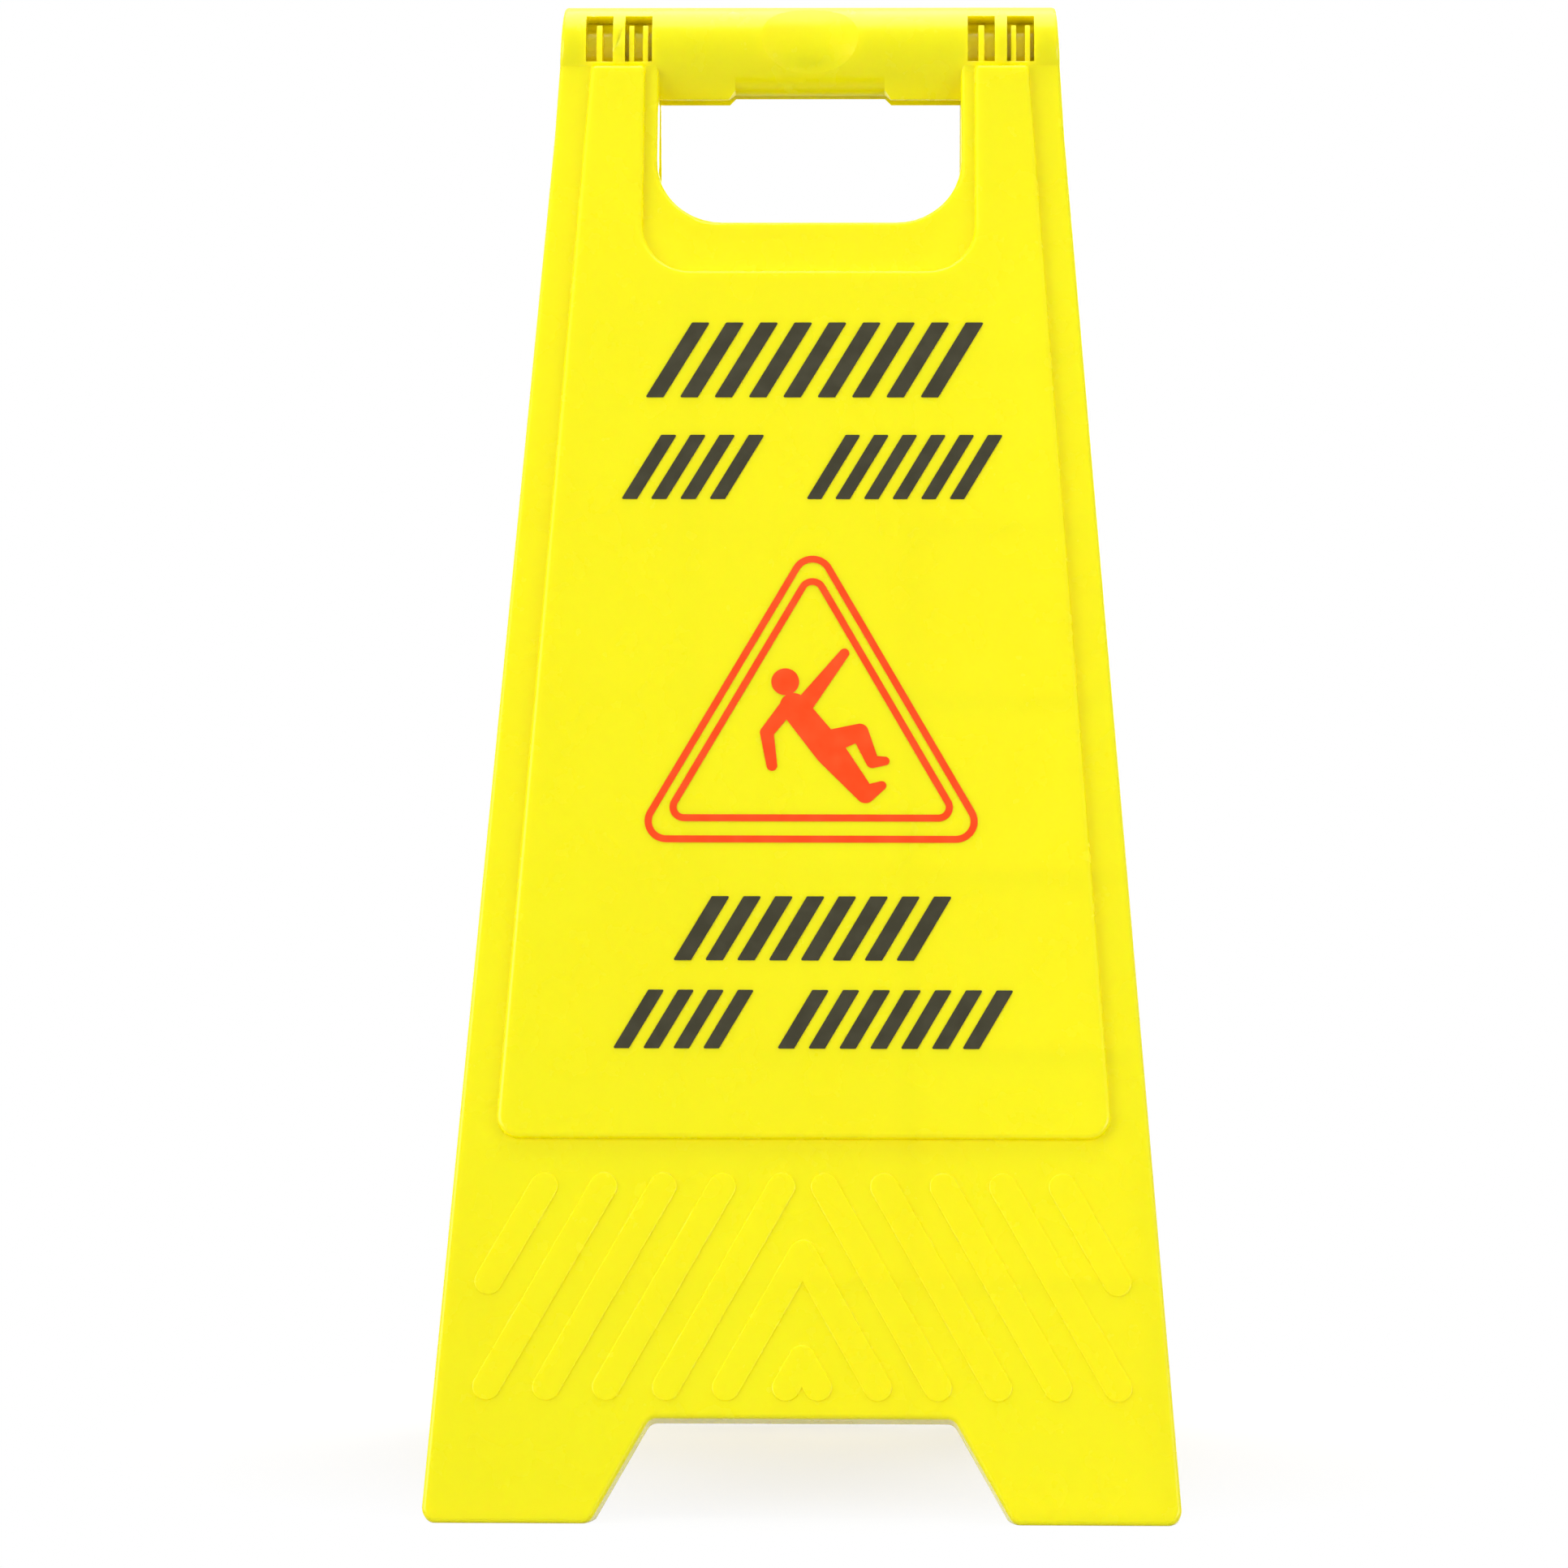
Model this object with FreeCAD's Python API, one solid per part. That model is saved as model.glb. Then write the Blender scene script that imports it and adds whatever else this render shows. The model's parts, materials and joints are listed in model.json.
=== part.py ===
import FreeCAD, Part
import math
import os

# ---------------------------------------------------------------------------
# Folding floor sign: two equal moulded leaves hinged in a half-round handle.
# Each leaf is drawn upright about its own hinge axis.  For a point on a leaf,
# x runs across, u runs down the leaf from the hinge axis and v stands out of
# the leaf's face.  place_leaf() leans the leaf and lifts it onto its feet.
# All sizes are millimetres and degrees.
# ---------------------------------------------------------------------------

# standing size
AXIS_HEIGHT = 603.5        # floor to hinge axis
LEAN = 15.0                # lean of each leaf from upright, fully open
FOOT_WIDTH = 300.8         # across the feet at the floor
HEAD_WIDTH = 210.8         # across the leaf at the hinge axis
SHOULDER_DOWN = 44.0       # hinge axis down to where the straight taper starts
SHOULDER_FLARE = 4.6       # width gained down to there

# leaf moulding
WALL = 2.5                 # moulded wall
FLANGE_FRONT = 15.5        # face of the border, out from the closing plane
PANEL_RAISE = 3.5          # sign panel stands this far out of the border
RIM_BACK = 0.5             # back edge of the rims, just off the closing plane
EDGE_ROUND = 2.0           # rounding of the front edges
PANEL_ROUND = 2.0          # rounding of the raised panel's edge
FOOT_CORNER = 6.5          # outer foot corner radius

# handle and hood
HOOD_RADIUS = 19.5         # half-round hood about the hinge axis
HOOD_END_ROUND = 1.6       # rounding of the hood's ends
STOP_GAP = 0.4             # between the two hoods when they rest open
LIP_DROP = 2.9             # the hood's lower lip hangs this far below the round
LIP_START = 50.0           # where the lip leaves the round, degrees below square
LIP_RELIEF = 69.0          # width of the finger relief in the middle of the lip
LIP_SLOPE = 2.8            # length of the sloped ends of the relief
THUMB_WIDTH = 41.0         # thumb hollow across
THUMB_ARC = 96.0           # thumb hollow round the hood, degrees
THUMB_DEPTH = 3.0          # thumb hollow at its deepest
THUMB_BACKING = 2.5        # extra wall behind the hollow

# hand opening
OPENING_WIDTH = 128.0      # clear width
OPENING_BOTTOM = 82.0      # lower edge below the hinge axis
OPENING_CORNER = 27.5      # lower corner radius
FRAME_SIDE = 5.7           # flat frame beside the opening
FRAME_BELOW = 22.8         # flat frame below the opening
FRAME_CORNER = 20.0        # corner radius of that frame

# raised panel
PANEL_TOP = 12.5           # top of the panel's arms below the hinge axis
PANEL_SKIRT = 154.4        # panel's bottom edge up the leaf from the foot
BORDER_TOP = 13.5          # border beside the panel at its top
BORDER_BOTTOM = 15.3       # border beside the panel at its bottom
PANEL_CORNER = 9.0
ARM_CORNER = 1.5

# foot notch
NOTCH_HEIGHT = 42.0        # top of the notch up the leaf from the foot
NOTCH_TOP_WIDTH = 120.6
NOTCH_SLANT = 29.3         # side of the notch from the leaf's centre line
NOTCH_CORNER = 4.5
NOTCH_TOE = 6.0            # inner toe corner radius

# slanted pads low on the leaf
PAD_HALF = 5.6             # half width of one pad
PAD_HEIGHT = 0.6
PAD_ROUND = 0.5
PAD_PITCH = 23.8
PAD_FIRST = 8.6            # upper end of the first full pad from centre
PAD_BELOW_PANEL = 19.2     # panel edge to the upper row of pad end centres
PAD_ABOVE_NOTCH = 12.4     # notch to the lower row of pad end centres
PAD_EDGE = 21.0            # lower pad end centres from the leaf's side
PAD_COUNT = 5              # full pads each side
PAD_EXTRA = 2              # pads each side that start at the centre line

# hinges: each leaf has two hooks and two forks, and each fork carries a pin
HINGE_EDGE = 16.2          # outer hinge station from the leaf's side
HINGE_PITCH = 16.6         # outer station to inner station
WINDOW_WIDTH = 11.5
WINDOW_HALF = 10.3         # half height of the hinge windows
PIN_RADIUS = 2.5
HOOK_CLEARANCE = 0.15      # radial, between the pin and the hook's bore
HOOK_WIDTH = 2.4
EYE_WALL = 3.1             # wall round the pin in hooks and forks
SNAP_GRIP = 0.7            # the hook's mouth is this much narrower than the pin
FORK_PLATE = 2.1
FORK_SPREAD = 5.9          # centre to centre of the fork plates
POCKET_WALL = 2.0          # wall of the pocket behind each window
POCKET_DEPTH = 6.5         # pocket's curved back, in from the hood's surface
PLATE_TOP = 18.0           # where the plates start on the hood, degrees above square
PLATE_LOW = 58.0           # and where they end below

# back ribs
RIB = 2.0
RIB_BACK = 6.0             # back edge of the ribs
RIB_ROWS = 5               # cross ribs behind the panel
RIB_SIDE = 46.0            # upright ribs from centre

# print, the same on both leaves; the artwork is drawn for a field ART_HEIGHT
# high, with u from the field's top, and scaled to the field it gets
INK = 0.15                 # thickness of the printed layer
PRINT_SHIFT = 2.4          # print register off the leaf's centre line
FIELD_TOP = 23.6           # artwork below the frame of the hand opening
FIELD_BOTTOM = 36.5        # artwork above the panel's bottom edge
ART_HEIGHT = 309.6
ROW_HALF = 80.5            # half width of the widest rows of stripes
ROW_TOPS = (0.0, 49.4, 246.5, 285.4)
ROW_HEIGHTS = (33.0, 28.0, 26.7, 24.2)
BOLD_STRIPE = 8.0
STRIPE = 6.6
STRIPE_SPACE = 0.85        # space between stripes, as a share of the stripe
STRIPE_SLANT = 30.0
STRIPE_CORNER = 0.5
TRIANGLE_LINE = 2.9
TRIANGLE_OUTER = (92.6, 224.0, 74.2, 9.0)      # apex, base, half base, corner radius
TRIANGLE_INNER = (105.4, 215.1, 62.0, 6.0)
WAIST_X = 1.5              # waist of the figure
WAIST_DOWN = 175.4
HEAD_RADIUS = 5.7

# ------------------------------------------------------------ worked-out sizes
TAN = math.tan(math.radians(LEAN))
COS = math.cos(math.radians(LEAN))
SIN = math.sin(math.radians(LEAN))
SLANT = math.tan(math.radians(NOTCH_SLANT))
PANEL_FRONT = FLANGE_FRONT + PANEL_RAISE
INNER_RADIUS = HOOD_RADIUS - WALL
FOOT_FRONT = (AXIS_HEIGHT + FLANGE_FRONT * SIN) / COS     # foot's front edge, down the leaf
SHOULDER_WIDTH = HEAD_WIDTH + SHOULDER_FLARE
PANEL_BOTTOM = FOOT_FRONT - PANEL_SKIRT
CROTCH = OPENING_BOTTOM + FRAME_BELOW                     # panel's edge below the opening
NOTCH_TOP = FOOT_FRONT - NOTCH_HEIGHT
PAD_TOP = PANEL_BOTTOM + PAD_BELOW_PANEL
PAD_BOTTOM = NOTCH_TOP - PAD_ABOVE_NOTCH
HINGE_OUTER = HEAD_WIDTH / 2.0 - HINGE_EDGE
HINGE_INNER = HINGE_OUTER - HINGE_PITCH
EYE_RADIUS = PIN_RADIUS + EYE_WALL
ART_SCALE = (PANEL_BOTTOM - FIELD_BOTTOM - CROTCH - FIELD_TOP) / ART_HEIGHT
ACROSS = FreeCAD.Vector(1, 0, 0)
ORIGIN = FreeCAD.Vector(0, 0, 0)


# -------------------------------------------------------------- drawing helpers
def pt(x, u, v):
    return FreeCAD.Vector(x, -v, -u)


def arc(a, b, c):
    return Part.Arc(a, b, c).toShape()


def rounded_face(corners, v):
    """Flat face in the plane v from corners (x, u, radius)."""
    count = len(corners)
    ends = []
    for i in range(count):
        here = FreeCAD.Vector(corners[i][0], corners[i][1], 0)
        last = FreeCAD.Vector(corners[i - 1][0], corners[i - 1][1], 0) - here
        after = FreeCAD.Vector(corners[(i + 1) % count][0], corners[(i + 1) % count][1], 0) - here
        last.normalize()
        after.normalize()
        radius = corners[i][2]
        half = last.getAngle(after) / 2.0
        middle = last + after
        middle.normalize()
        run = radius / math.tan(half)
        bulge = here + middle * (radius / math.sin(half) - radius)
        ends.append((here + last * run, bulge, here + after * run))
    edges = []
    for i in range(count):
        start, bulge, stop = [pt(p.x, p.y, v) for p in ends[i]]
        if corners[i][2] > 0:
            edges.append(arc(start, bulge, stop))
        following = ends[(i + 1) % count][0]
        edges.append(Part.makeLine(stop, pt(following.x, following.y, v)))
    return Part.Face(Part.Wire(edges))


def prism(corners, v0, v1):
    """Solid between the planes v0 and v1."""
    return rounded_face(corners, v0).extrude(FreeCAD.Vector(0, v0 - v1, 0))


def section_run(points, x0, x1):
    """Solid from a closed (u, v) section with straight sides, run from x0 to x1."""
    wire = Part.makePolygon([pt(x0, u, v) for u, v in points + points[:1]])
    return Part.Face(wire).extrude(ACROSS * (x1 - x0))


def rod(radius, x0, x1):
    return Part.makeCylinder(radius, x1 - x0, pt(x0, 0, 0), ACROSS)


def block(x0, x1, u0, u1, v0, v1):
    return Part.makeBox(x1 - x0, v1 - v0, u1 - u0, pt(x0, u1, v1))


def mirrored(corners):
    """Close a right-hand chain of corners with its mirror image."""
    return corners + [(-x, u, r) for x, u, r in reversed(corners)]


def round_front(solid, v, radius):
    """Round every edge of the solid that lies in the plane v."""
    edges = [e for e in solid.Edges if max(abs(e.BoundBox.YMin + v), abs(e.BoundBox.YMax + v)) < 1e-4]
    return solid.makeFillet(radius, edges)


# -------------------------------------------------------------------- outlines
def half_width(u):
    """Half width of the leaf at u."""
    if u < SHOULDER_DOWN:
        return (HEAD_WIDTH + SHOULDER_FLARE * u / SHOULDER_DOWN) / 2.0
    run = (u - SHOULDER_DOWN) / (FOOT_FRONT - SHOULDER_DOWN)
    return (SHOULDER_WIDTH + (FOOT_WIDTH - SHOULDER_WIDTH) * run) / 2.0


def panel_half(u):
    """Half width of the raised panel at u: straight between its two ends."""
    run = (u - PANEL_TOP) / (PANEL_BOTTOM - PANEL_TOP)
    top = half_width(PANEL_TOP) - BORDER_TOP
    return top + (half_width(PANEL_BOTTOM) - BORDER_BOTTOM - top) * run


def head_outline(inset):
    """Sides of the leaf from above the hood to below the handle."""
    top = -HOOD_RADIUS - 1.0
    low = HOOD_RADIUS + LIP_DROP + 1.0
    return mirrored([(half_width(top) - inset, top, 0), (half_width(low) - inset, low, 0)])


def slab_outline():
    """The leaf without its hood, with the foot notch."""
    toe = NOTCH_TOP_WIDTH / 2.0 + NOTCH_HEIGHT * SLANT
    return mirrored([
        (HEAD_WIDTH / 2.0, 0, 0),
        (SHOULDER_WIDTH / 2.0, SHOULDER_DOWN, 0),
        (FOOT_WIDTH / 2.0, FOOT_FRONT, FOOT_CORNER),
        (toe, FOOT_FRONT, NOTCH_TOE),
        (NOTCH_TOP_WIDTH / 2.0, NOTCH_TOP, NOTCH_CORNER),
    ])


def slab_inner():
    """Inside of the leaf's rim wall, closed above the foot pads."""
    low = FOOT_FRONT - FLANGE_FRONT * TAN - WALL
    return mirrored([
        (HEAD_WIDTH / 2.0 - WALL, 0, 0),
        (SHOULDER_WIDTH / 2.0 - WALL, SHOULDER_DOWN, 0),
        (half_width(low) - WALL, low, FOOT_CORNER - WALL),
    ])


def notch_outline(grow):
    """The foot notch, grown by the rim wall round it."""
    side = NOTCH_TOP_WIDTH / 2.0 + grow / math.cos(math.radians(NOTCH_SLANT))
    low = NOTCH_HEIGHT * 1.5
    return mirrored([
        (side - grow * SLANT, NOTCH_TOP - grow, NOTCH_CORNER + grow),
        (side + low * SLANT, NOTCH_TOP + low, 0),
    ])


def opening_outline(grow):
    half = OPENING_WIDTH / 2.0 + grow
    return mirrored([(half, -1.0, 0), (half, OPENING_BOTTOM + grow, OPENING_CORNER + grow)])


def panel_outline(inset):
    """The raised panel: a tapered field with two arms beside the opening."""
    arm = OPENING_WIDTH / 2.0 + FRAME_SIDE + inset
    top = PANEL_TOP + inset
    low = PANEL_BOTTOM - inset
    corner = max(ARM_CORNER - inset, 0)
    return mirrored([
        (arm, CROTCH + inset, FRAME_CORNER + inset),
        (arm, top, corner),
        (panel_half(top) - inset, top, corner),
        (panel_half(low) - inset, low, PANEL_CORNER - inset),
    ])


# -------------------------------------------------------------- hood and handle
def behind_stop(reach, gap):
    """What lies behind the stop plane above the axis, where the other hood is."""
    solid = block(-reach, reach, -reach, 0, -reach, 0)
    solid.rotate(ORIGIN, ACROSS, LEAN)
    across_stop = FreeCAD.Vector(0, -COS, -SIN)
    solid.translate(across_stop * gap)
    return solid


def hood():
    """Half-round about the axis, from the open stop round to the back plane."""
    reach = HEAD_WIDTH
    solid = rod(HOOD_RADIUS, -reach, reach).common(prism(head_outline(0), -reach, reach))
    ends = [e for e in solid.Edges if e.BoundBox.YLength > HOOD_RADIUS and e.BoundBox.XLength < HOOD_RADIUS]
    solid = solid.makeFillet(HOOD_END_ROUND, ends)
    solid = solid.cut(block(-reach, reach, -reach, reach, -reach, RIM_BACK))
    return solid.cut(behind_stop(reach, STOP_GAP / 2.0))


def lip():
    """Straight lip that leaves the round and hangs below the handle."""
    angle = math.radians(LIP_START)
    u0 = HOOD_RADIUS * math.sin(angle)
    v0 = HOOD_RADIUS * math.cos(angle)
    u1 = HOOD_RADIUS + LIP_DROP
    v1 = v0 - (u1 - u0) * math.tan(angle)
    edge = 1.2                                   # flat lower edge
    thick = WALL / math.cos(angle)
    half = OPENING_WIDTH / 2.0 + 1.0
    solid = section_run([(u0, v0), (u1, v1), (u1, v1 - edge), (HOOD_RADIUS - WALL, RIM_BACK), (u0, v0 - thick)],
                        -half, half)
    relief = LIP_RELIEF / 2.0
    low = LIP_DROP + 1.0
    gap = prism(mirrored([(relief - LIP_SLOPE, u0, 0),
                          (relief - LIP_SLOPE, HOOD_RADIUS, 0),
                          (relief - LIP_SLOPE + low * LIP_SLOPE / LIP_DROP, HOOD_RADIUS + low, 0)]),
                -1, HOOD_RADIUS)
    return solid.cut(gap)


def thumb_cutter():
    """Hourglass ring whose inside leaves a shallow oval hollow in the hood."""
    angle = math.radians(THUMB_ARC / 2.0)
    bed = HOOD_RADIUS - THUMB_DEPTH
    rise = bed - HOOD_RADIUS * math.cos(angle)
    waist = ((HOOD_RADIUS * math.sin(angle)) ** 2 + rise ** 2) / (2.0 * rise)
    axis = pt(0, 0, bed - waist)
    half = THUMB_WIDTH / 2.0
    sweep = (half ** 2 + THUMB_DEPTH ** 2) / (2.0 * THUMB_DEPTH)
    wide = half * 1.3
    edge = bed + sweep - math.sqrt(sweep ** 2 - wide ** 2)
    far = bed + HOOD_RADIUS
    face = Part.Face(Part.Wire([
        arc(pt(-wide, 0, edge), pt(0, 0, bed), pt(wide, 0, edge)),
        Part.makeLine(pt(wide, 0, edge), pt(wide, 0, far)),
        Part.makeLine(pt(wide, 0, far), pt(-wide, 0, far)),
        Part.makeLine(pt(-wide, 0, far), pt(-wide, 0, edge)),
    ]))
    face.rotate(axis, ACROSS, -90)
    return face.revolve(axis, ACROSS, 180)


def thumb_backing():
    """Thicker wall behind the thumb hollow."""
    half = THUMB_WIDTH / 2.0 + WALL
    high = HOOD_RADIUS * math.sin(math.radians(THUMB_ARC / 2.0))
    bed = HOOD_RADIUS - THUMB_DEPTH - THUMB_BACKING
    return rod(HOOD_RADIUS - WALL / 2.0, -half, half).common(block(-half, half, -high, high, bed, HOOD_RADIUS))


# --------------------------------------------------------------------- hinges
def hinge_plate(x0, x1):
    """Plate from the inside of the hood to an eye on the hinge axis."""
    reach = HOOD_RADIUS - WALL / 2.0
    top = math.radians(PLATE_TOP)
    low = math.radians(-PLATE_LOW)
    a = pt(x0, -reach * math.sin(top), reach * math.cos(top))
    m = pt(x0, 0, reach)
    b = pt(x0, -reach * math.sin(low), reach * math.cos(low))
    back = math.radians(23.0)                    # where the eye's round back begins
    c = pt(x0, EYE_RADIUS * math.cos(back), -EYE_RADIUS * math.sin(back))
    d = pt(x0, 0, -EYE_RADIUS)
    e = pt(x0, -EYE_RADIUS * math.cos(back), -EYE_RADIUS * math.sin(back))
    wire = Part.Wire([arc(a, m, b), Part.makeLine(b, c), arc(c, d, e), Part.makeLine(e, a)])
    return Part.Face(wire).extrude(ACROSS * (x1 - x0))


def pocket(x):
    """Walls behind a window: four sides and a back that follows the hood's curve."""
    half = WINDOW_WIDTH / 2.0
    wide = half + POCKET_WALL
    high = WINDOW_HALF + POCKET_WALL
    back = HOOD_RADIUS - POCKET_DEPTH
    behind = back - POCKET_WALL
    hood_inside = rod(HOOD_RADIUS - WALL / 2.0, x - wide, x + wide)
    outer = block(x - wide, x + wide, -high, high, behind / 2.0, HOOD_RADIUS).common(hood_inside)
    room = block(x - half, x + half, -WINDOW_HALF, WINDOW_HALF, 0, HOOD_RADIUS)
    room = room.cut(rod(back, x - wide, x + wide))
    return outer.cut([rod(behind, x - wide, x + wide), room])


def hook(x):
    """Plate whose eye is open at the back, to snap over the other leaf's pin."""
    x0 = x - HOOK_WIDTH / 2.0
    x1 = x + HOOK_WIDTH / 2.0
    plate = hinge_plate(x0, x1).cut(rod(PIN_RADIUS + HOOK_CLEARANCE, x0, x1))
    mouth = PIN_RADIUS - SNAP_GRIP / 2.0
    return [plate.cut(block(x0, x1, -mouth, mouth, -2.0 * EYE_RADIUS, 0))]


def fork(x):
    """Two plates that hold a pin between them."""
    plates = []
    for side in (-1, 1):
        middle = x + side * FORK_SPREAD / 2.0
        x0 = middle - FORK_PLATE / 2.0
        x1 = middle + FORK_PLATE / 2.0
        plates.append(hinge_plate(x0, x1).cut(rod(PIN_RADIUS, x0, x1)))
    return plates


def fork_pin(x):
    half = (FORK_SPREAD + FORK_PLATE) / 2.0
    return rod(PIN_RADIUS, x - half, x + half)


def hinge_parts():
    """Hooks, forks and pockets; the other leaf meets them half a turn round."""
    stations = (-HINGE_OUTER, -HINGE_INNER, HINGE_INNER, HINGE_OUTER)
    return ([pocket(x) for x in stations]
            + hook(-HINGE_OUTER) + fork(-HINGE_INNER) + hook(HINGE_INNER) + fork(HINGE_OUTER))


def windows():
    half = WINDOW_WIDTH / 2.0
    front = HOOD_RADIUS + 1.0
    places = (-HINGE_OUTER, -HINGE_INNER, HINGE_INNER, HINGE_OUTER)
    return [block(x - half, x + half, -WINDOW_HALF, WINDOW_HALF, front / 2.0, front) for x in places]


# ------------------------------------------------------------------ pads, ribs
def pad(x0, u0, x1, u1):
    """Low slanted pad with round ends and a soft edge."""
    along = FreeCAD.Vector(x1 - x0, u1 - u0, 0)
    along.normalize()
    ax = along.x * PAD_HALF
    au = along.y * PAD_HALF
    root = FLANGE_FRONT - WALL / 2.0
    wire = Part.Wire([
        Part.makeLine(pt(x0 - au, u0 + ax, root), pt(x1 - au, u1 + ax, root)),
        arc(pt(x1 - au, u1 + ax, root), pt(x1 + ax, u1 + au, root), pt(x1 + au, u1 - ax, root)),
        Part.makeLine(pt(x1 + au, u1 - ax, root), pt(x0 + au, u0 - ax, root)),
        arc(pt(x0 + au, u0 - ax, root), pt(x0 - ax, u0 - au, root), pt(x0 - au, u0 + ax, root)),
    ])
    face = FLANGE_FRONT + PAD_HEIGHT
    return round_front(Part.Face(wire).extrude(FreeCAD.Vector(0, root - face, 0)), face, PAD_ROUND)


def pads():
    """Two fans of slanted pads, leaning out from the centre line."""
    far = half_width(PAD_BOTTOM) - PAD_EDGE
    out = []
    for n in range(-PAD_EXTRA, PAD_COUNT):
        start = PAD_FIRST + n * PAD_PITCH
        x0 = max(start, 0.0)
        x1 = min(start + (PAD_BOTTOM - PAD_TOP) * SLANT, far)
        u0 = PAD_TOP + (x0 - start) / SLANT
        u1 = PAD_TOP + (x1 - start) / SLANT
        out += [pad(x0, u0, x1, u1), pad(-x0, u0, -x1, u1)]
    return out


def cross_rib(u, half, front):
    return block(-half, half, u - RIB / 2.0, u + RIB / 2.0, RIB_BACK, front)


def ribs():
    """Stiffening ribs behind the panel and the skirt."""
    panel = PANEL_FRONT - WALL / 2.0
    skirt = FLANGE_FRONT - WALL / 2.0
    first = OPENING_BOTTOM + WALL / 2.0
    last = NOTCH_TOP - WALL / 2.0
    out = []
    for x in (-RIB_SIDE, RIB_SIDE):
        out.append(block(x - RIB / 2.0, x + RIB / 2.0, first, last, RIB_BACK, skirt))
        out.append(block(x - RIB / 2.0, x + RIB / 2.0, CROTCH + WALL, PANEL_BOTTOM - WALL, RIB_BACK, panel))
    pitch = (PANEL_BOTTOM - CROTCH) / RIB_ROWS
    for n in range(RIB_ROWS):
        u = CROTCH + pitch * (n + 0.5)
        out.append(cross_rib(u, half_width(u) - WALL / 2.0, skirt))
        out.append(cross_rib(u, panel_half(u) - WALL / 2.0, panel))
    low = (PANEL_BOTTOM + NOTCH_TOP) / 2.0
    out.append(cross_rib(low, half_width(low) - WALL / 2.0, skirt))
    return out


# ------------------------------------------------------------------------ leaf
def shell():
    """Face, rims, raised panel and hood, hollow from behind."""
    body = prism(slab_outline(), RIM_BACK, FLANGE_FRONT)
    body = body.cut(prism(opening_outline(0), 0, FLANGE_FRONT + 1.0))
    body = round_front(body, FLANGE_FRONT, EDGE_ROUND)
    panel = prism(panel_outline(0), FLANGE_FRONT - WALL / 2.0, PANEL_FRONT)
    body = body.fuse([round_front(panel, PANEL_FRONT, PANEL_ROUND), hood(), lip()])

    inside = FLANGE_FRONT - WALL
    hollow = prism(slab_inner(), 0, inside)
    hollow = hollow.cut([prism(opening_outline(WALL), 0, inside), prism(notch_outline(WALL), 0, inside)])
    behind_panel = prism(panel_outline(WALL), inside - WALL, PANEL_FRONT - WALL)
    reach = HEAD_WIDTH
    hood_room = rod(INNER_RADIUS, -reach, reach).common(prism(head_outline(WALL), -reach, reach))
    return body.cut([hollow, behind_panel, hood_room])


def floor_cut(shape):
    """Trim the feet so that they stand flat when the leaf leans."""
    reach = AXIS_HEIGHT
    ground = block(-reach, reach, 0, reach, -reach, reach)
    ground.rotate(ORIGIN, ACROSS, LEAN)
    ground.translate(FreeCAD.Vector(0, SIN, -COS) * AXIS_HEIGHT)
    return shape.cut(ground)


def leaf():
    body = shell().cut(windows())
    body = body.fuse(hinge_parts() + ribs() + pads() + [thumb_backing()])
    return floor_cut(body.cut(thumb_cutter())).removeSplitter()


# ----------------------------------------------------------------------- print
def art(x, u):
    """Artwork place to leaf place."""
    return PRINT_SHIFT + x * ART_SCALE, CROTCH + FIELD_TOP + u * ART_SCALE


def printed(corners):
    """Thin layer of ink on the panel from artwork corners (x, u, radius)."""
    placed = [(*art(x, u), r * ART_SCALE) for x, u, r in corners]
    return prism(placed, PANEL_FRONT, PANEL_FRONT + INK)


def stripe_row(x0, x1, row, stripe):
    """Row of slanted stripes that fills the width from x0 to x1."""
    u0 = ROW_TOPS[row]
    u1 = u0 + ROW_HEIGHTS[row]
    lean = (u1 - u0) * math.tan(math.radians(STRIPE_SLANT))
    gap = stripe * STRIPE_SPACE
    room = x1 - x0 - lean
    count = max(int(round((room + gap) / (stripe + gap))), 1)
    wide = (room - (count - 1) * gap) / count
    out = []
    for n in range(count):
        left = x0 + n * (wide + gap)
        corners = [(left + lean, u0), (left + lean + wide, u0), (left + wide, u1), (left, u1)]
        out.append(printed([(x, u, STRIPE_CORNER) for x, u in corners]))
    return out


def upper_rows():
    """A bold row, then a row in two groups."""
    out = stripe_row(-ROW_HALF + 10.6, ROW_HALF - 9.6, 0, BOLD_STRIPE)
    out += stripe_row(-ROW_HALF + 1.2, -20.2, 1, STRIPE)
    out += stripe_row(-2.7, ROW_HALF - 1.8, 1, STRIPE)
    return Part.makeCompound(out)


def lower_rows():
    """A short row, then a row in two groups."""
    out = stripe_row(-ROW_HALF + 25.0, ROW_HALF - 23.2, 2, STRIPE)
    out += stripe_row(-ROW_HALF + 1.2, -22.6, 3, STRIPE)
    out += stripe_row(-13.1, ROW_HALF + 1.6, 3, STRIPE)
    return Part.makeCompound(out)


def triangle_line(apex, base, half, corner):
    """Round-cornered triangle drawn as a line."""
    side = math.atan2(half, base - apex)
    top = apex + TRIANGLE_LINE / math.sin(side)
    low = base - TRIANGLE_LINE
    inner = (low - top) * math.tan(side)
    small = corner - TRIANGLE_LINE
    outside = printed([(0, apex, corner), (half, base, corner), (-half, base, corner)])
    return outside.cut(printed([(0, top, small), (inner, low, small), (-inner, low, small)]))


def triangle():
    return Part.makeCompound([triangle_line(*TRIANGLE_OUTER), triangle_line(*TRIANGLE_INNER)])


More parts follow.
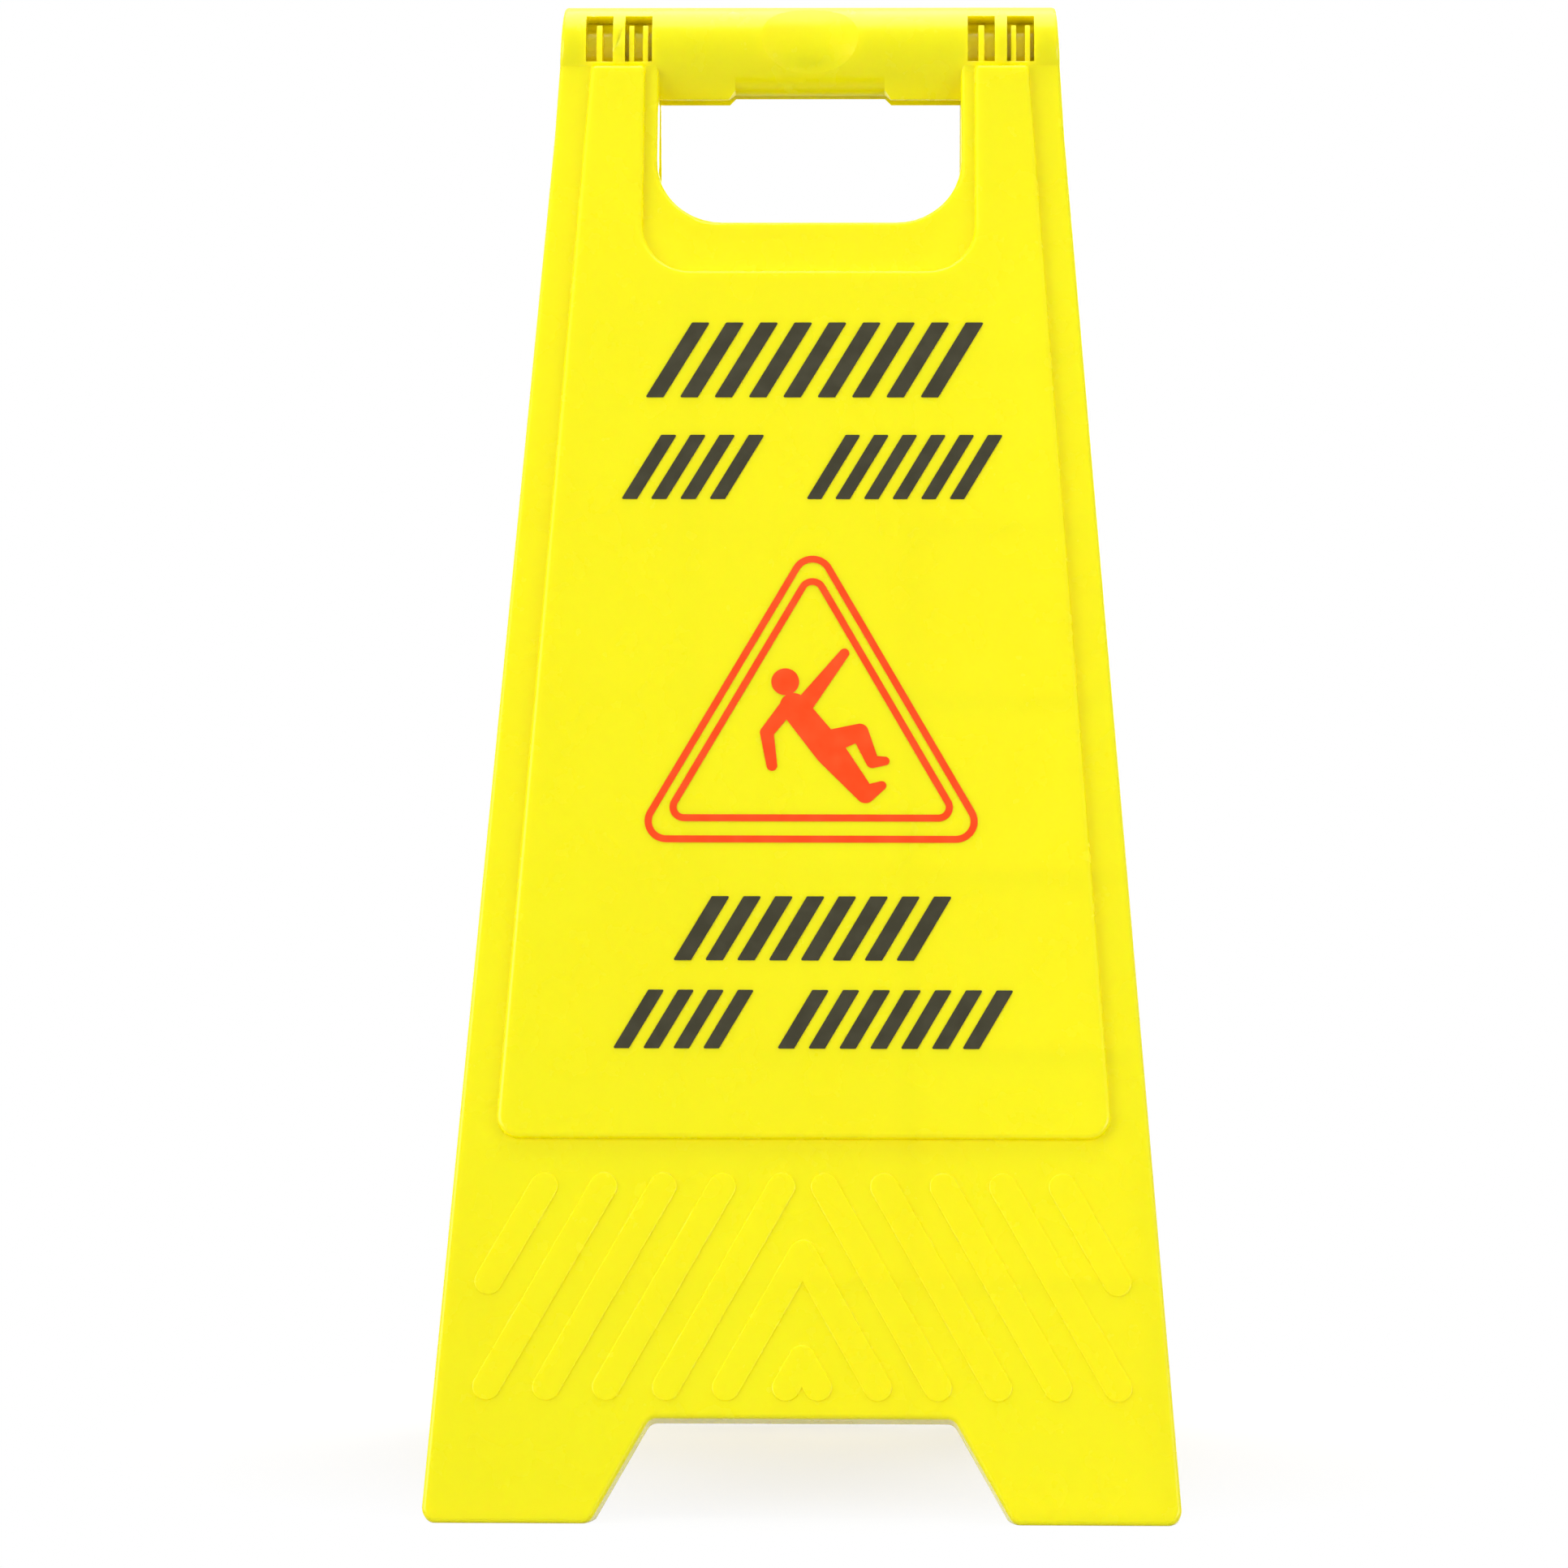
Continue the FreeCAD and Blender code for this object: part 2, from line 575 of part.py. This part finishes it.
def limb(x0, u0, r0, x1, u1, r1):
    """Tapered bar with round ends, between two points measured from the waist."""
    heading = math.atan2(u1 - u0, x1 - x0)
    spread = math.acos((r0 - r1) / math.hypot(x1 - x0, u1 - u0))

    def at(x, u, r, turn):
        angle = heading + turn
        return pt(*art(WAIST_X + x + r * math.cos(angle), WAIST_DOWN + u + r * math.sin(angle)), PANEL_FRONT)

    wire = Part.Wire([
        arc(at(x1, u1, r1, -spread), at(x1, u1, r1, 0), at(x1, u1, r1, spread)),
        Part.makeLine(at(x1, u1, r1, spread), at(x0, u0, r0, spread)),
        arc(at(x0, u0, r0, spread), at(x0, u0, r0, math.pi), at(x0, u0, r0, -spread)),
        Part.makeLine(at(x0, u0, r0, -spread), at(x1, u1, r1, -spread)),
    ])
    return Part.Face(wire).extrude(FreeCAD.Vector(0, -INK, 0))


def figure():
    """Plain figure losing its footing, built from tapered limbs about its waist."""
    middle = art(WAIST_X - 12.4, WAIST_DOWN - 19.4)
    head = Part.makeCylinder(HEAD_RADIUS * ART_SCALE, INK, pt(*middle, PANEL_FRONT), FreeCAD.Vector(0, -1, 0))
    limbs = [
        limb(-9.0, -9.0, 5.6, 6.0, 10.0, 6.2),        # trunk
        limb(-5.0, -9.0, 3.8, 11.8, -31.6, 2.0),      # raised arm
        limb(-11.4, -9.0, 3.2, -19.8, 2.2, 2.8),      # lowered upper arm
        limb(-19.8, 2.2, 2.8, -17.6, 16.2, 2.2),      # lowered forearm
        limb(6.0, 6.0, 5.0, 18.2, 2.0, 3.6),          # bent thigh
        limb(18.2, 2.0, 3.6, 23.4, 14.6, 2.6),        # bent shin
        limb(23.4, 14.6, 2.6, 28.6, 14.2, 1.8),       # raised foot
        limb(6.0, 10.0, 6.2, 20.6, 28.2, 3.8),        # straight leg
        limb(20.6, 28.2, 3.8, 27.2, 24.6, 1.9),       # sliding foot
    ]
    return head.fuse(limbs).removeSplitter()


# -------------------------------------------------------------- place and save
def place_leaf(shape, rear):
    """Lean a leaf, lift it to the axis, and turn the rear one to face away."""
    out = shape.copy()
    out.rotate(ORIGIN, ACROSS, -LEAN)
    out.translate(FreeCAD.Vector(0, 0, AXIS_HEIGHT))
    if rear:
        out.rotate(ORIGIN, FreeCAD.Vector(0, 0, 1), 180)
    return out


def save(name, shape):
    os.makedirs("parts", exist_ok=True)
    solids = shape.Solids
    out = solids[0] if len(solids) == 1 else Part.makeCompound(solids)
    out.exportStep("parts/" + name + ".step")


pieces = {
    "leaf": leaf(),
    "pin_inner": fork_pin(-HINGE_INNER),
    "pin_outer": fork_pin(HINGE_OUTER),
    "print_upper_rows": upper_rows(),
    "print_triangle": triangle(),
    "print_figure": figure(),
    "print_lower_rows": lower_rows(),
}
for side, is_rear in (("front", False), ("rear", True)):
    for piece, solid in pieces.items():
        save(side + "_" + piece, place_leaf(solid, is_rear))
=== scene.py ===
import json
import math
import bpy
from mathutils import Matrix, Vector


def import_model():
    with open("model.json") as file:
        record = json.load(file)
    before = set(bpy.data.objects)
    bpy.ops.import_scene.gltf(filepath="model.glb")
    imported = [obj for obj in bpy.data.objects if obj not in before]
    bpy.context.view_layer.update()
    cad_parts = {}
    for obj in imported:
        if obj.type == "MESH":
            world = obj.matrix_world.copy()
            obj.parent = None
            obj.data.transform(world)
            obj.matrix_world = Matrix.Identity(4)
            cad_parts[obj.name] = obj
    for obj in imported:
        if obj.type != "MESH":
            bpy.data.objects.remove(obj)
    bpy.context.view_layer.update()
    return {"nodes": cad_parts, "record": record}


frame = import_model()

# colours, linear
YELLOW = (1.0, 0.845, 0.0)
YELLOW_DEEP = (1.0, 0.82, 0.0)
YELLOW_SCUFFED = (1.0, 0.91, 0.16)
BLACK = (0.022, 0.019, 0.004)
RED = (0.91, 0.058, 0.0)
WORLD_GREY = (0.10, 0.10, 0.10)
WORLD_WHITE = (1.0, 1.0, 1.0)

# finish of the plastic, lengths in metres
PLASTIC_ROUGHNESS = (0.22, 0.30)
PLASTIC_SPECULAR = 0.3
SCUFF_ROUGHNESS = 0.25
SCUFF_MOST = 0.4
EDGE_RADIUS = 0.0008
EDGE_SHARP = 0.90            # cosine between face and softened normal at a full edge
EDGE_FLAT = 0.985            # the same cosine where an edge begins to show
GLOW_WEIGHT = 0.8
GLOW_DEPTH = 0.006
GLOW_TINT = (1.0, 0.8, 0.1)

# finish of the printed ink
INK_ROUGHNESS = (0.42, 0.55)
INK_SPECULAR = 0.35
INK_WORN_GAIN = 1.25
INK_WORN_LIFT = 0.006

# the floor shows the lit grey's real shadow near the object, plus a painted shadow where its glow is dimmed
# towards SHADOW_CENTRE, and is plain white further out
FLOOR_GREY = 0.42
FLOOR_GLOW = 0.5             # seen in reflections too, but not by diffuse rays
FLOOR_ROUGHNESS = 0.8
FLOOR_SPECULAR = 0.1
FLOOR_HALF = 8.0
SHADOW_CENTRE = (0.0, 0.12, 0.0)
SHADOW_REACH = 0.03
WHITE_FROM = 0.33

# name, place, aimed at, width and height, watts
LAMPS = (
    ("overhead", (0.0, 0.28, 2.6), (0, 0.28, 0), (2.4, 2.5), 68),
    ("key", (-3.0, -2.0, 1.1), (0, 0, 0.35), (2.8, 2.0), 99),
    ("fill", (2.7, -2.3, 0.6), (0, 0, 0.3), (2.6, 1.1), 61),
    ("rear", (1.2, 2.8, 1.1), (0, 0, 0.4), (2.0, 1.2), 34),
)

CAMERA_PLACE = (0.0345, -2.300, 0.2918)
CAMERA_DEGREES = (90, -0.10, 1.127)
CAMERA_LENS = 123.7137       # millimetres, on a sensor of SENSOR_WIDTH
CAMERA_REACH = 50
SENSOR_WIDTH = 36.0


# --------------------------------------------------------------- node helpers
def new_material(name):
    mat = bpy.data.materials.new(name)
    mat.use_nodes = True
    tree = mat.node_tree
    return mat, tree.nodes, tree.links, tree.nodes["Principled BSDF"]


def noise(nodes, links, coords, scale, detail=2.0, rough=0.5):
    n = nodes.new("ShaderNodeTexNoise")
    n.inputs["Scale"].default_value = scale
    n.inputs["Detail"].default_value = detail
    n.inputs["Roughness"].default_value = rough
    links.new(coords, n.inputs["Vector"])
    return n.outputs["Fac"]


def remap(nodes, links, value, start, stop, low, high):
    m = nodes.new("ShaderNodeMapRange")
    m.inputs["From Min"].default_value = start
    m.inputs["From Max"].default_value = stop
    m.inputs["To Min"].default_value = low
    m.inputs["To Max"].default_value = high
    links.new(value, m.inputs["Value"])
    return m.outputs["Result"]


def maths(nodes, links, operation, a, b):
    m = nodes.new("ShaderNodeMath")
    m.operation = operation
    for socket, value in zip(m.inputs, (a, b)):
        if isinstance(value, float):
            socket.default_value = value
        else:
            links.new(value, socket)
    return m.outputs["Value"]


def blend_colour(nodes, links, factor, a, b):
    m = nodes.new("ShaderNodeMix")
    m.data_type = "RGBA"
    links.new(factor, m.inputs["Factor"])
    for name, value in (("A", a), ("B", b)):
        if isinstance(value, tuple):
            m.inputs[name].default_value = (*value, 1.0)
        else:
            links.new(value, m.inputs[name])
    return m.outputs["Result"]


def bump(nodes, links, height, distance, strength, normal=None):
    b = nodes.new("ShaderNodeBump")
    b.inputs["Distance"].default_value = distance
    b.inputs["Strength"].default_value = strength
    links.new(height, b.inputs["Height"])
    if normal:
        links.new(normal, b.inputs["Normal"])
    return b.outputs["Normal"]


def object_coords(nodes):
    return nodes.new("ShaderNodeTexCoord").outputs["Object"]


def backdrop_rays(nodes, links):
    """1 for the rays that see the pale background: camera, glossy and transmission rays."""
    path = nodes.new("ShaderNodeLightPath").outputs
    seen = maths(nodes, links, "MAXIMUM", path["Is Camera Ray"], path["Is Glossy Ray"])
    return maths(nodes, links, "MAXIMUM", seen, path["Is Transmission Ray"])


# ------------------------------------------------------------------ materials
def edge_wear(nodes, links, coords):
    """Broken-up rub marks where the surface turns sharply."""
    soft = nodes.new("ShaderNodeBevel")
    soft.samples = 4
    soft.inputs["Radius"].default_value = EDGE_RADIUS
    plain = nodes.new("ShaderNodeNewGeometry")
    along = nodes.new("ShaderNodeVectorMath")
    along.operation = "DOT_PRODUCT"
    links.new(soft.outputs["Normal"], along.inputs[0])
    links.new(plain.outputs["True Normal"], along.inputs[1])
    edge = remap(nodes, links, along.outputs["Value"], EDGE_FLAT, EDGE_SHARP, 0.0, 1.0)
    blotches = noise(nodes, links, coords, scale=85.0, detail=5.0, rough=0.65)
    patches = remap(nodes, links, blotches, 0.54, 0.68, 0.0, SCUFF_MOST)
    return maths(nodes, links, "MULTIPLY", edge, patches)


def yellow_plastic():
    """Satin, slightly translucent moulded plastic with cloudy colour, fine grain and rubbed edges."""
    mat, nodes, links, shader = new_material("yellow_plastic")
    coords = object_coords(nodes)
    cloud = noise(nodes, links, coords, scale=9.0, detail=3.0)
    depth = remap(nodes, links, cloud, 0.35, 0.65, 0.0, 1.0)
    colour = blend_colour(nodes, links, depth, YELLOW, YELLOW_DEEP)
    scuff = edge_wear(nodes, links, coords)
    links.new(blend_colour(nodes, links, scuff, colour, YELLOW_SCUFFED), shader.inputs["Base Color"])

    sheen = noise(nodes, links, coords, scale=60.0, detail=4.0)
    satin = remap(nodes, links, sheen, 0.3, 0.7, *PLASTIC_ROUGHNESS)
    rubbed = maths(nodes, links, "MULTIPLY", scuff, SCUFF_ROUGHNESS)
    links.new(maths(nodes, links, "ADD", satin, rubbed), shader.inputs["Roughness"])

    shader.inputs["Specular IOR Level"].default_value = PLASTIC_SPECULAR
    shader.inputs["Subsurface Weight"].default_value = GLOW_WEIGHT
    shader.inputs["Subsurface Radius"].default_value = GLOW_TINT
    shader.inputs["Subsurface Scale"].default_value = GLOW_DEPTH

    grain = noise(nodes, links, coords, scale=1400.0)
    wave = noise(nodes, links, coords, scale=45.0, detail=1.0)
    normal = bump(nodes, links, wave, distance=0.0005, strength=0.08)
    normal = bump(nodes, links, grain, distance=0.00006, strength=0.25, normal=normal)
    links.new(normal, shader.inputs["Normal"])
    return mat


def ink(name, colour):
    """Printed layer, a little paler in patches."""
    mat, nodes, links, shader = new_material(name)
    coords = object_coords(nodes)
    worn = tuple(min(c * INK_WORN_GAIN + INK_WORN_LIFT, 1.0) for c in colour)
    cloud = noise(nodes, links, coords, scale=130.0, detail=4.0)
    wear = remap(nodes, links, cloud, 0.4, 0.75, 0.0, 1.0)
    links.new(blend_colour(nodes, links, wear, colour, worn), shader.inputs["Base Color"])
    links.new(remap(nodes, links, cloud, 0.3, 0.7, *INK_ROUGHNESS), shader.inputs["Roughness"])
    shader.inputs["Specular IOR Level"].default_value = INK_SPECULAR
    grain = noise(nodes, links, coords, scale=2200.0)
    links.new(bump(nodes, links, grain, distance=0.00004, strength=0.3), shader.inputs["Normal"])
    return mat


def dress_cad():
    by_slot = {
        "yellow_plastic": yellow_plastic(),
        "black_ink": ink("black_ink", BLACK),
        "red_ink": ink("red_ink", RED),
    }
    for part in frame["record"]["subparts"]:
        obj = frame["nodes"][part["node"]]
        obj.data.materials.clear()
        obj.data.materials.append(by_slot[part["material_slot"]])


# ---------------------------------------------------------- floor and backdrop
def floor_material():
    mat, nodes, links, shader = new_material("floor")
    shader.inputs["Base Color"].default_value = (FLOOR_GREY, FLOOR_GREY, FLOOR_GREY, 1.0)
    shader.inputs["Roughness"].default_value = FLOOR_ROUGHNESS
    shader.inputs["Specular IOR Level"].default_value = FLOOR_SPECULAR

    away = nodes.new("ShaderNodeVectorMath")
    away.operation = "DISTANCE"
    links.new(object_coords(nodes), away.inputs[0])
    away.inputs[1].default_value = SHADOW_CENTRE
    distance = away.outputs["Value"]
    # painted shadow: the glow is dimmer towards SHADOW_CENTRE, behind the object, whatever the lamps do
    glow_dimmed_as_painted_shadow = remap(nodes, links, distance, SHADOW_REACH, WHITE_FROM, FLOOR_GLOW, 1.0)
    unlit = remap(nodes, links, distance, SHADOW_REACH, WHITE_FROM, 0.0, 1.0)

    # further out, the glow takes over from the lit grey, which fades to nothing
    rays = backdrop_rays(nodes, links)
    glow = nodes.new("ShaderNodeEmission")
    links.new(maths(nodes, links, "MULTIPLY", glow_dimmed_as_painted_shadow, rays), glow.inputs["Strength"])
    dark = nodes.new("ShaderNodeBsdfTransparent")
    dark.inputs["Color"].default_value = (0.0, 0.0, 0.0, 1.0)
    fade = nodes.new("ShaderNodeMixShader")
    links.new(maths(nodes, links, "MULTIPLY", unlit, rays), fade.inputs["Fac"])
    links.new(shader.outputs["BSDF"], fade.inputs[1])
    links.new(dark.outputs["BSDF"], fade.inputs[2])
    both = nodes.new("ShaderNodeAddShader")
    links.new(fade.outputs["Shader"], both.inputs[0])
    links.new(glow.outputs["Emission"], both.inputs[1])
    links.new(both.outputs["Shader"], nodes["Material Output"].inputs["Surface"])
    return mat


def floor():
    """White floor with the object's soft shadow near it, partly real and partly painted by a dimmer glow,
    and no horizon line.
    """
    mesh = bpy.data.meshes.new("floor")
    r = FLOOR_HALF
    mesh.from_pydata([(-r, -r, 0), (r, -r, 0), (r, r, 0), (-r, r, 0)], [], [(0, 1, 2, 3)])
    mesh.materials.append(floor_material())
    obj = bpy.data.objects.new("floor", mesh)
    bpy.context.scene.collection.objects.link(obj)


def world():
    studio = bpy.data.worlds.new("studio")
    bpy.context.scene.world = studio
    studio.use_nodes = True
    nodes, links = studio.node_tree.nodes, studio.node_tree.links
    rays = backdrop_rays(nodes, links)
    links.new(blend_colour(nodes, links, rays, WORLD_GREY, WORLD_WHITE), nodes["Background"].inputs["Color"])


# ------------------------------------------------------------ lamps and camera
def lamp(name, place, target, size, power):
    light = bpy.data.lights.new(name, "AREA")
    light.shape = "RECTANGLE"
    light.size, light.size_y = size
    light.energy = power
    obj = bpy.data.objects.new(name, light)
    bpy.context.scene.collection.objects.link(obj)
    obj.location = place
    obj.rotation_euler = (Vector(target) - Vector(place)).to_track_quat("-Z", "Y").to_euler()


def camera():
    cam = bpy.data.cameras.new("camera")
    cam.sensor_width = SENSOR_WIDTH
    cam.lens = CAMERA_LENS
    cam.clip_end = CAMERA_REACH
    obj = bpy.data.objects.new("camera", cam)
    bpy.context.scene.collection.objects.link(obj)
    obj.location = CAMERA_PLACE
    obj.rotation_euler = [math.radians(angle) for angle in CAMERA_DEGREES]
    bpy.context.scene.camera = obj


dress_cad()
floor()
world()
for settings in LAMPS:
    lamp(*settings)
camera()

scene = bpy.context.scene
scene.view_settings.view_transform = "Standard"
